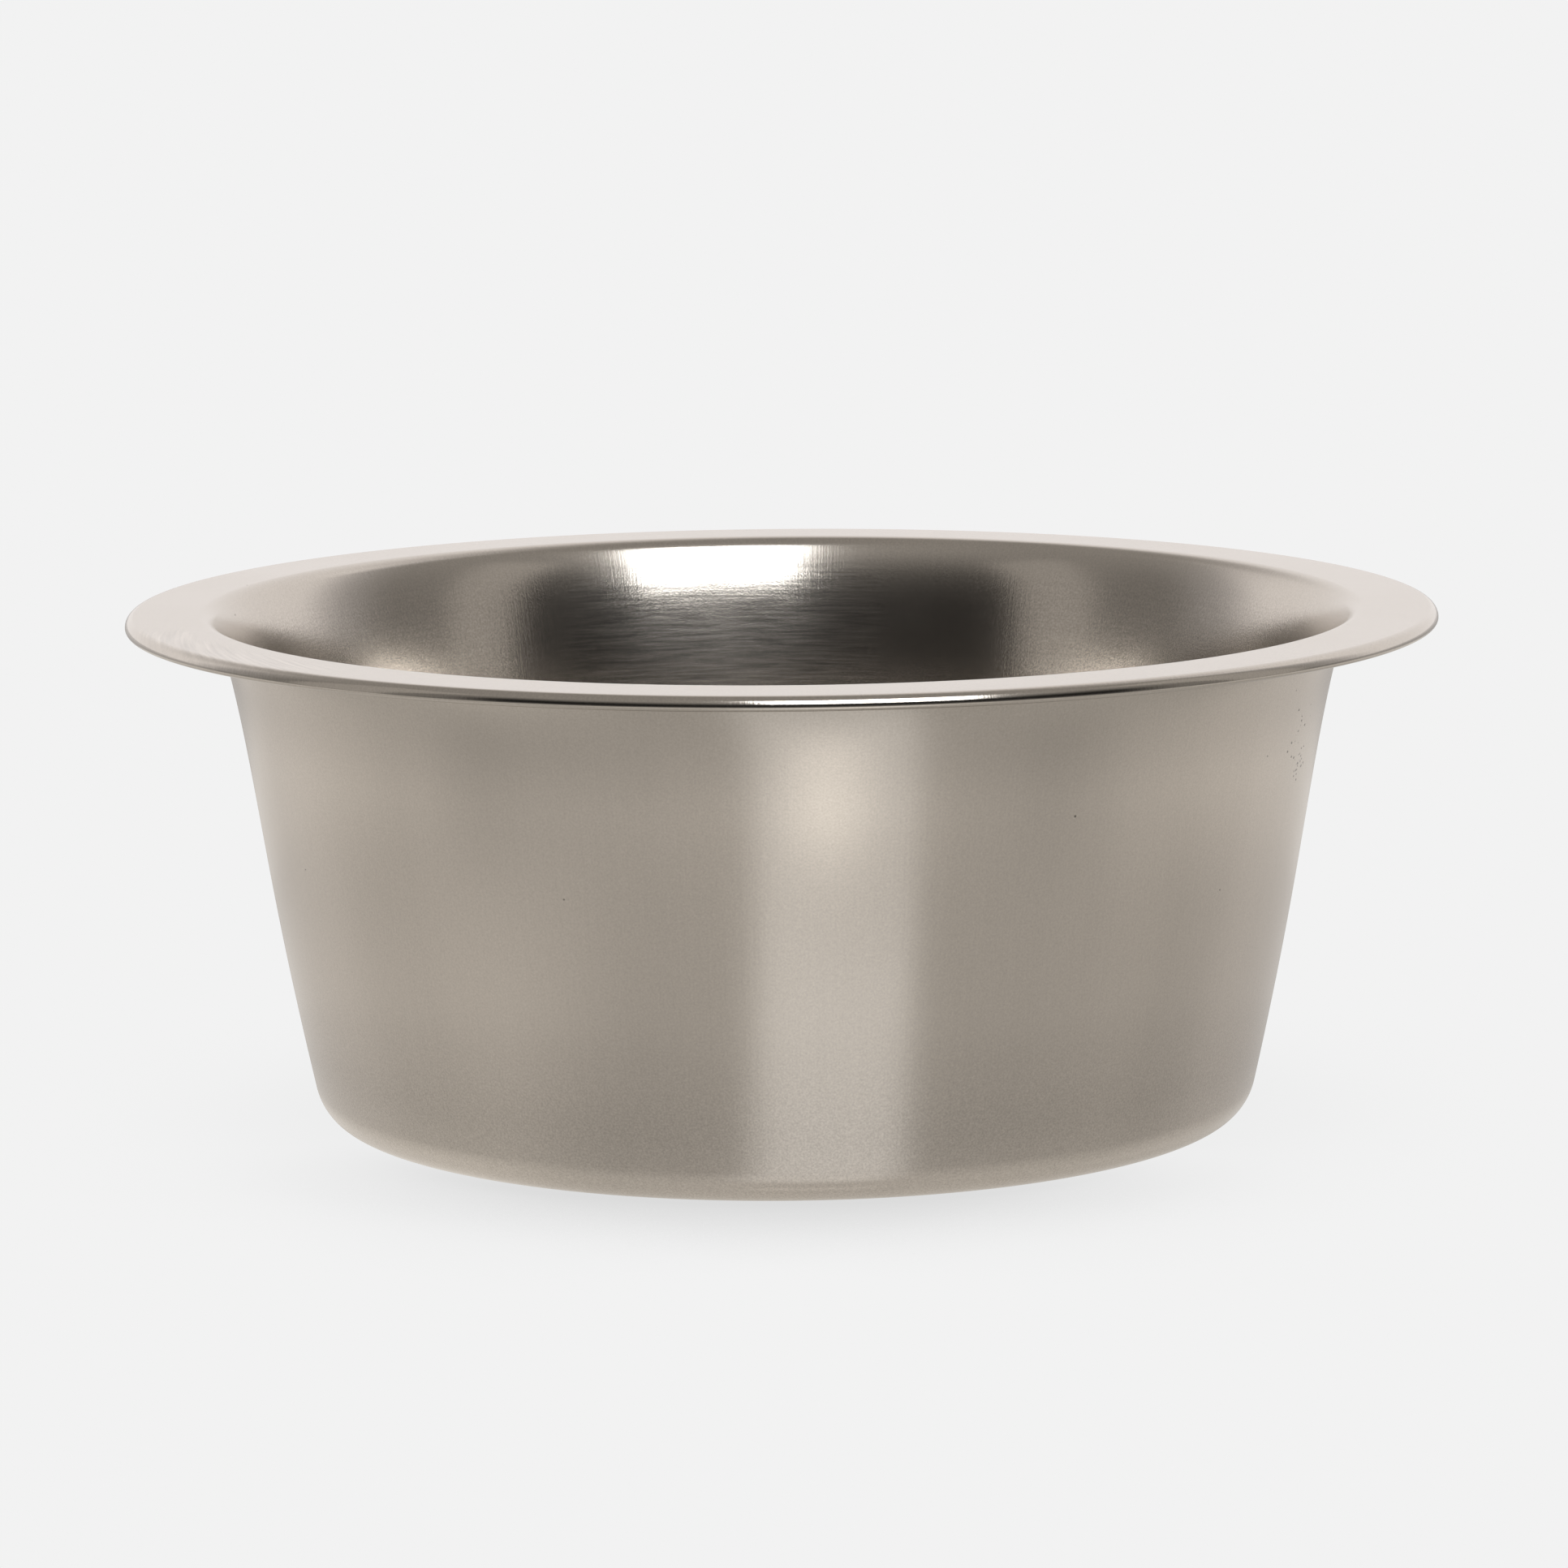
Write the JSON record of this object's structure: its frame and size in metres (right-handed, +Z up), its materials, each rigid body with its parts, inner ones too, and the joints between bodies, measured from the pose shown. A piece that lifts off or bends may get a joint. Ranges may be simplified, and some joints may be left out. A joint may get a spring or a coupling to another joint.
{
  "type": "pet bowl",
  "caption": "Round stainless steel pet bowl with a tapered wall, a flat base and a wide flat flange with a rolled lip, for food or water.",
  "frame": {"origin": "centre of the flat base, on the surface that the bowl stands on", "axes": "+Z up along the bowl's axis of revolution; X and Y are any two horizontal directions, since the bowl is round"},
  "size_m": [0.21, 0.21, 0.0823],
  "materials": {
    "steel": "satin stainless steel with a fine even grain, warm grey, scuffed a little on the flange and lip"
  },
  "bodies": {
    "root": {"bowl": "steel"}
  },
  "joints": []
}
